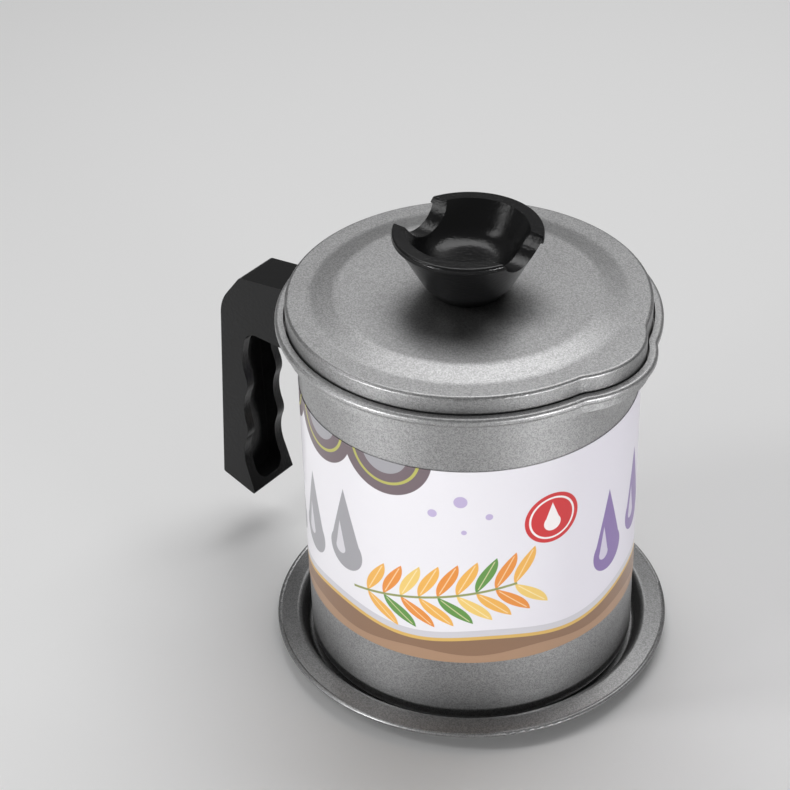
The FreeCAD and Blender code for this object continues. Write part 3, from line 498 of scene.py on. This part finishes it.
class Loom(Growth):
    """Weaves the basket's wires from grids of lines that are bent to their place."""

    def __init__(self, name, sizes):
        super().__init__(name, sizes)
        n = self.given
        self.lean_run = n["Collar foot"] - n["Corner height"]
        corner_top = n["Collar radius"] - self.lean_run * n["Lean"]
        self.floor_radius = corner_top - n["Corner radius"]
        self.floor_height = n["Corner height"] - n["Corner radius"]
        self.profile = self.ring(corners=3, radius=n["Wire radius"])
        self.x, self.y, _ = self.parts(self.add("GeometryNodeInputPosition"))

    def ring(self, corners, radius):
        return self.add("GeometryNodeCurvePrimitiveCircle", {"mode": "RADIUS"},
                        {"Resolution": corners, "Radius": radius})

    def lines(self, side, across, along, upright):
        """A square grid's lines along Y, if they are the upright ones, or along X."""
        mesh = self.add("GeometryNodeMeshGrid", inputs={
            "Size X": side, "Size Y": side, "Vertices X": across + 1, "Vertices Y": along + 1})
        ends = self.add("GeometryNodeInputMeshEdgeVertices").socket.node.outputs
        start, end = (self.parts(Value(self, ends[key]))[0] for key in ("Position 1", "Position 2"))
        is_cross = abs(start - end).beyond(TOUCHING)
        return self.add("GeometryNodeDeleteGeometry", {"domain": "EDGE", "mode": "EDGE_FACE"},
                        {0: mesh, 1: is_cross if upright else 1 - is_cross})

    def wires(self, mesh, place):
        """Moves the points of lines to their place and turns the lines into wires."""
        moved = self.add("GeometryNodeSetPosition", inputs={"Geometry": mesh, "Position": place})
        merged = self.add("GeometryNodeMergeByDistance", inputs={
            "Geometry": moved, "Distance": TOUCHING})
        curves = self.add("GeometryNodeMeshToCurve", inputs={0: merged})
        return self.add("GeometryNodeCurveToMesh", inputs={
            "Curve": curves, "Profile Curve": self.profile})

    def crimp(self, column, row, upright):
        """How far a wire passes over or under the one that it crosses."""
        odd = self.maths("MODULO", column + row, 2).whole()
        return (1 - 2 * odd) * self.given["Crimp"] * (1 if upright else -1)

    def wall(self, upright):
        """The upright wires or the ring wires of the cup: straight down the collar, leaning in, and
        round the corner."""
        n = self.given
        share_round, share_down = self.x + 0.5, self.y + 0.5
        column = (share_round * n["Wires round"]).whole()
        row = (share_down * n["Rows"]).whole()
        collar_run = n["Mouth height"] - n["Collar foot"]
        run = share_down * (collar_run + self.lean_run + n["Corner radius"] * (math.pi / 2))
        leaning = (run - collar_run).most(0).least(self.lean_run)
        bend = (run - collar_run - self.lean_run).most(0) / n["Corner radius"]
        inward = n["Corner radius"] * (1 - bend.swing())
        radius = n["Collar radius"] - leaning * n["Lean"] - inward
        straight = run.least(collar_run)
        height = n["Mouth height"] - straight - leaning - n["Corner radius"] * bend.wave()
        lift = self.crimp(column, row, upright)
        out = radius + lift * bend.swing()
        around = share_round * (2 * math.pi)
        place = self.point(out * around.swing(), out * around.wave(),
                           height - lift * bend.wave())
        return self.wires(self.lines(1.0, n["Wires round"], n["Rows"], upright), place)

    def floor(self, upright):
        """The wires of the square-woven floor that run one way, cut off in a circle."""
        count = self.given["Floor wires"]
        pitch = self.floor_radius * 2 / count
        column, row = (self.x / pitch + count).whole(), (self.y / pitch + count).whole()
        outside = (self.x * self.x + self.y * self.y).root().beyond(self.floor_radius)
        kept = self.add("GeometryNodeDeleteGeometry", {"domain": "POINT"}, {
            0: self.lines(self.floor_radius * 2, count, count, upright), 1: outside})
        height = self.floor_height - self.crimp(column, row, upright)
        return self.wires(kept, self.point(self.x, self.y, height))

    def seam(self):
        """The wire ring that joins wall and floor."""
        raised = self.add("GeometryNodeSetPosition", inputs={
            "Geometry": self.ring(corners=120, radius=self.floor_radius),
            "Offset": self.point(0.0, 0.0, self.floor_height)})
        thick = self.ring(corners=10, radius=self.given["Wire radius"] * SEAM_SHARE)
        return self.add("GeometryNodeCurveToMesh", inputs={
            "Curve": raised, "Profile Curve": thick})


loom = Loom("wire_basket", CLOTH)
cup = [loom.wall(True), loom.wall(False), loom.floor(True), loom.floor(False), loom.seam()]
wire = bare_metal("cloth_wire", WIRE_GREY, 0.22, (1, 1, 1))
basket = loom.grow("wire_basket", wire, *cup)
put(basket, "strainer", "steel_mesh", wire, "strainer_mesh")


# ------------------------------------------------------------------ lid
# The lid is pressed from the same sheet as the pot: a skirt that drops inside the rim, a cover over
# the spout, a flat ring, a sloping band and a raised middle with one hole for the knob's screw.

# The lid's coating is the pot's, but its grey is set darker than the pot's: painted shade.
LID_GREY_WITH_PAINTED_SHADE = (0.33, 0.33, 0.332)
dress("lid_shell", coated_steel("lid_coating", LID_GREY_WITH_PAINTED_SHADE, 0.48))


# ------------------------------------------------------------------ knob
# The knob is moulded in the same black resin over a brass insert. A zinc-plated screw and washer
# hold it from under the lid.

KNOB_EDGE = 0.0003              # metres
put(softened("knob", KNOB_EDGE, 2), "lid", "black_moulding", black, "knob")
BRASS = (0.74, 0.55, 0.26)
brass = bare_metal("turned_brass", BRASS, 0.25, (1, 1, 0.06))
dress("knob_insert", brass)
dress("knob_washer", zinc_plate)
dress("knob_screw", zinc_plate)


# ------------------------------------------------------------------ floor, lamps and camera
# The container stands on a pale matt table. A wide lamp hangs overhead and behind, a small low one
# stands at each side in front, and a tall weak one at the left picks out the black edges.

bpy.context.scene.view_settings.view_transform = "Standard"

FLOOR_SIDE = 8.0                # metres
FLOOR_GREY = (0.86, 0.86, 0.86, 1)
edge = FLOOR_SIDE / 2
corners = [(-edge, -edge, 0), (edge, -edge, 0), (edge, edge, 0), (-edge, edge, 0)]
square = bpy.data.meshes.new("floor")
square.from_pydata(corners, [], [(0, 1, 2, 3)])
floor = bpy.data.objects.new("floor", square)
bpy.context.scene.collection.objects.link(floor)
matt = Finish("pale_table", Roughness=0.9, Specular_IOR_Level=0.1)
floor.data.materials.append(matt.paint(Base_Color=FLOOR_GREY))

world = bpy.data.worlds.new("studio")
bpy.context.scene.world = world
world.use_nodes = True
air = world.node_tree.nodes["Background"]
air.inputs["Color"].default_value = (1, 1, 1, 1)
air.inputs["Strength"].default_value = 0.2

POT_MIDDLE = Vector((0, 0, 0.08))


def lamp(name, azimuth, distance, height, width, tall, power):
    """A soft lamp over the table that faces the pot, in degrees, metres and watts. Azimuth 0 is
    at -Y and 90 at +X."""
    turn = math.radians(azimuth)
    light = bpy.data.lights.new(name, "AREA")
    light.shape, light.size, light.size_y, light.energy = "RECTANGLE", width, tall, power
    holder = bpy.data.objects.new(name, light)
    holder.location = (distance * math.sin(turn), -distance * math.cos(turn), height)
    aim = holder.location - POT_MIDDLE
    holder.rotation_euler = aim.to_track_quat("Z", "Y").to_euler()
    holder.visible_camera = False
    bpy.context.scene.collection.objects.link(holder)


CAMERA_AZIMUTH = 37
lamp("over", CAMERA_AZIMUTH + 162, 0.44, 1.0, 0.9, 0.6, 6.4)
lamp("left", CAMERA_AZIMUTH - 52, 0.85, 0.05, 0.14, 0.09, 3.5)
lamp("right", CAMERA_AZIMUTH + 40, 0.85, 0.05, 0.14, 0.09, 3.4)
lamp("edge", CAMERA_AZIMUTH - 78, 0.5, 0.50, 0.10, 0.34, 0.7)

camera = bpy.data.cameras.new("camera")
camera.lens, camera.sensor_width = 105.79, 36   # mm
camera.clip_start, camera.clip_end = 0.05, 20
heading = -0.039 - math.radians(CAMERA_AZIMUTH)
pitch, roll = 0.6095, -0.0306   # radians, the camera looks down and is slightly rolled
level_share = math.cos(pitch)
ahead = Vector((math.sin(heading) * level_share, math.cos(heading) * level_share, -math.sin(pitch)))
level = Vector((math.cos(heading), -math.sin(heading), 0))
upright = level.cross(ahead)
right = level * math.cos(roll) + upright * math.sin(roll)
up = upright * math.cos(roll) - level * math.sin(roll)
eye = bpy.data.objects.new("camera", camera)
placing = Matrix((right, up, -ahead)).transposed().to_4x4()
placing.translation = (0.3790, -0.5030, 0.5359)
eye.matrix_world = placing
bpy.context.scene.collection.objects.link(eye)
bpy.context.scene.camera = eye
